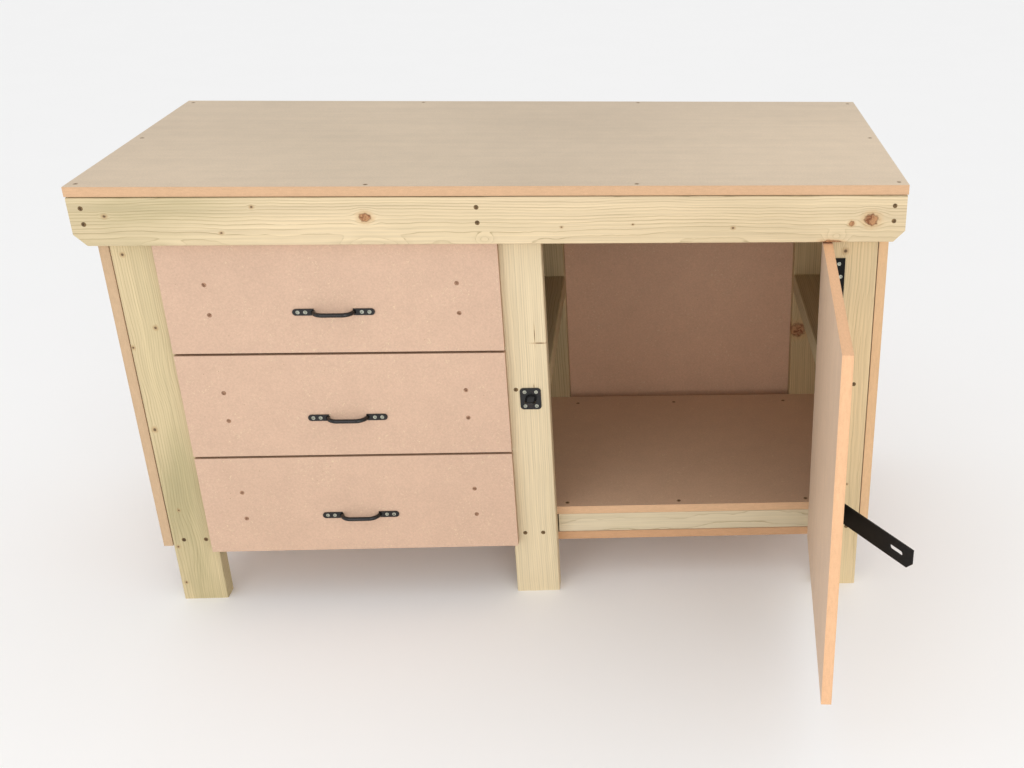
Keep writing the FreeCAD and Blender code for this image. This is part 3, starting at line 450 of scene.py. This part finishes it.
SIDE_FACE = srgb(222, 188, 156)
SHELF_FACE = srgb(226, 190, 160)
DRAWER_BOX = srgb(214, 184, 152)
DRAWER_FRONT = srgb(222, 187, 161)
EDGE = srgb(226, 185, 146)
FRONT_EDGE = srgb(196, 162, 134)
DOOR_ANGLE = math.radians(85.7)

# The worktop's patches are painted light, brightest on the right, with a faint painted shade behind the
# middle.
board(
    "worktop", "worktop", (0, 0, 1), srgb(219, 198, 171), EDGE, streak=X, specks=0.35, blotch=0.02,
    wipes=[
        ((0.74, 0.1, 0.897), 0.7, 0.17),
        ((-0.62, 0.0, 0.897), 0.45, 0.09),
        ((0.0, 0.3, 0.897), 0.5, -0.03),
    ],
)
for tag in DRAWERS:
    board(f"{tag}_drawer_front", f"{tag}_drawer_front", (0, 1, 0), DRAWER_FRONT, FRONT_EDGE)
    board(f"{tag}_sides", f"{tag}_drawer_sides", (1, 0, 0), DRAWER_BOX, EDGE)
    board(f"{tag}_ends", f"{tag}_drawer_ends", (0, 1, 0), DRAWER_BOX, EDGE)
    board(f"{tag}_base", f"{tag}_drawer_base", (0, 0, 1), srgb(206, 176, 144), EDGE)
# The door's face and edge are lighter than the same MDF on the other boards: painted light, as is the lighter
# patch on its face.
board(
    "door", "door_panel", (-math.sin(DOOR_ANGLE), math.cos(DOOR_ANGLE), 0.0), srgb(231, 203, 176),
    srgb(246, 196, 152), streak=Z, specks=0.3, wipes=[((0.6, -0.32, 0.4), 0.42, 0.08)],
)
# The left side panel's edge is darker and the right's lighter than the same MDF elsewhere: painted shade and
# painted light for how the lamps fall on them.
board("left_side", "left_side_panel", (1, 0, 0), SIDE_FACE, srgb(214, 182, 146))
board("right_side", "right_side_panel", (1, 0, 0), SIDE_FACE, srgb(242, 202, 157))
board("back", "back_panel", (0, 1, 0), srgb(224, 182, 152), EDGE)
board("shelf", "cupboard_shelf", (0, 0, 1), SHELF_FACE, EDGE)
# The base panel's edge is darker than the other edges: painted shade, for the rail's shadow on the strip
# below it.
board("base", "base_panel", (0, 0, 1), SHELF_FACE, srgb(212, 166, 126))

# ---------------------------------------------------------------- metal parts

LACQUER = srgb(11, 10, 10)


def black_steel(name, worn_and_reflected_colour, specular, low, high):
    """Black japanned steel: an uneven thick lacquer, worn a little thinner and browner in places. On the
    handles the brown is also a painted reflection of the boards.
    """
    graph = Graph(name)
    orange_peel = graph.noise(graph.place, 380.0, 3.0, 0.6)
    wear_and_reflection = graph.noise(graph.place, 70.0, 4.0, 0.7)
    graph.surface({
        "Base Color": graph.mix(graph.remap(wear_and_reflection, 0.5, 0.8), LACQUER, worn_and_reflected_colour),
        "Roughness": graph.remap(wear_and_reflection, 0.3, 0.7, low, high),
        "Specular IOR Level": specular,
    })
    graph.bump(orange_peel, 0.0001, 0.4)
    return graph


def plated_steel(name, pale, dull, low, high, metallic=1.0, dusted=None):
    """Plated screws and runners: mottled plating with fine drawing marks. Heads that face up may be dusted
    with the board's own colour."""
    graph = Graph(name)
    spangle = graph.noise(graph.place, 240.0, 3.0, 0.6)
    scuff = graph.noise(graph.place, 1500.0, 2.0, 0.6)
    colour = graph.mix(graph.remap(spangle, 0.35, 0.65), dull, pale)
    if dusted is not None:
        colour = graph.mix(graph.remap(graph.split(graph.facing)[Z], 0.6, 0.9, 0.0, 0.8), colour, dusted)
    roughness = graph.remap(scuff, 0.3, 0.7, low, high)
    graph.surface({"Base Color": colour, "Roughness": roughness, "Metallic": metallic})
    graph.bump(scuff, 0.00004, 0.5)
    return graph


black = black_steel("black_steel", srgb(26, 23, 20), 0.16, 0.34, 0.5)
# The handles' brown patches are a painted reflection of the MDF as well as wear.
handle_black = black_steel("handle_black", srgb(40, 23, 20), 0.5, 0.16, 0.28)
zinc = plated_steel("zinc", srgb(206, 206, 192), srgb(158, 160, 146), 0.24, 0.42)
yellow = plated_steel(
    "yellow_passivate", srgb(150, 122, 84), srgb(104, 84, 62), 0.4, 0.6, metallic=0.7,
    dusted=srgb(180, 152, 120),
)
dusty = plated_steel("dusty_passivate", srgb(196, 154, 124), srgb(142, 106, 82), 0.5, 0.7, metallic=0.4)
galvanised = plated_steel("galvanised", srgb(206, 208, 210), srgb(160, 163, 166), 0.28, 0.45)

coat(black, "hinge_plates", "hinge_pins", "hinge_straps", "hasp_leaf", "hasp_strap")
coat(handle_black, "hasp_staple")
coat(zinc, "bench_hardware_screws", "door_hardware_screws")
coat(yellow, "wood_screws")
coat(galvanised, "cabinet_runners")
for tag in DRAWERS:
    coat(handle_black, f"{tag}_drawer_handle")
    coat(zinc, f"{tag}_handle_screws")
    coat(dusty, f"{tag}_front_screws")
    coat(galvanised, f"{tag}_drawer_runners")

# ---------------------------------------------------------------- floor, light and camera

FLOOR_HALF = 30.0
SOFT_BOX = 2.4
KEY_WATTS, FILL_WATTS, SKY_STRENGTH = 44, 26, 0.93
CAMERA_PLACE = (0.2737, -2.23366, 1.5304)
PAN, TILT, ROLL = 0.072, -0.459, 0.018


def pale_floor():
    corners = [(-1, -1), (1, -1), (1, 1), (-1, 1)]
    mesh = bpy.data.meshes.new("floor")
    mesh.from_pydata([(x * FLOOR_HALF, y * FLOOR_HALF, 0) for x, y in corners], [], [(0, 1, 2, 3)])
    floor = bpy.data.objects.new("floor", mesh)
    bpy.context.scene.collection.objects.link(floor)
    graph = Graph("pale_floor")
    speckle = graph.remap(graph.noise(graph.place, 3.0, 2.0), 0.3, 0.7, 0.995, 1.0)
    colour = graph.scaled(srgb(250, 250, 250, share=1.0), speckle)
    graph.surface({"Base Color": colour, "Roughness": 0.9, "Specular IOR Level": 0.1})
    mesh.materials.append(graph.material)


def area_light(name, place, target, watts):
    light = bpy.data.lights.new(name, "AREA")
    light.shape = "DISK"
    light.size = SOFT_BOX
    light.energy = watts
    lamp = bpy.data.objects.new(name, light)
    lamp.location = place
    lamp.rotation_mode = "QUATERNION"
    lamp.rotation_quaternion = (Vector(target) - Vector(place)).to_track_quat("-Z", "Y")
    bpy.context.scene.collection.objects.link(lamp)


def studio_sky():
    world = bpy.data.worlds.new("studio")
    world.use_nodes = True
    background = world.node_tree.nodes["Background"]
    background.inputs["Color"].default_value = (1.0, 1.0, 1.0, 1.0)
    background.inputs["Strength"].default_value = SKY_STRENGTH
    bpy.context.scene.world = world


def photo_camera():
    """The camera at the photo's place, turned by pan about Z, then tilted and rolled. It is shifted because
    the photo's frame isn't centred on the lens's axis."""
    forward = Vector((math.sin(PAN) * math.cos(TILT), math.cos(PAN) * math.cos(TILT), math.sin(TILT)))
    level = Vector((math.cos(PAN), -math.sin(PAN), 0.0))
    above = level.cross(forward)
    right = math.cos(ROLL) * level + math.sin(ROLL) * above
    up = math.cos(ROLL) * above - math.sin(ROLL) * level
    lens = bpy.data.cameras.new("camera")
    lens.sensor_width = 36.0
    lens.lens = 43.46
    lens.shift_x = -0.2141
    lens.shift_y = 0.0213
    lens.clip_end = 200.0
    camera = bpy.data.objects.new("camera", lens)
    bpy.context.scene.collection.objects.link(camera)
    turn = Matrix((right, up, -forward)).transposed().to_4x4()
    camera.matrix_world = Matrix.Translation(CAMERA_PLACE) @ turn
    bpy.context.scene.camera = camera


pale_floor()
area_light("key", (1.6, -4.6, 1.9), (0.2, 0.2, 0.45), KEY_WATTS)
area_light("fill", (-2.0, -4.2, 1.4), (0.3, 0.3, 0.4), FILL_WATTS)
studio_sky()
photo_camera()
bpy.context.scene.view_settings.view_transform = "Standard"
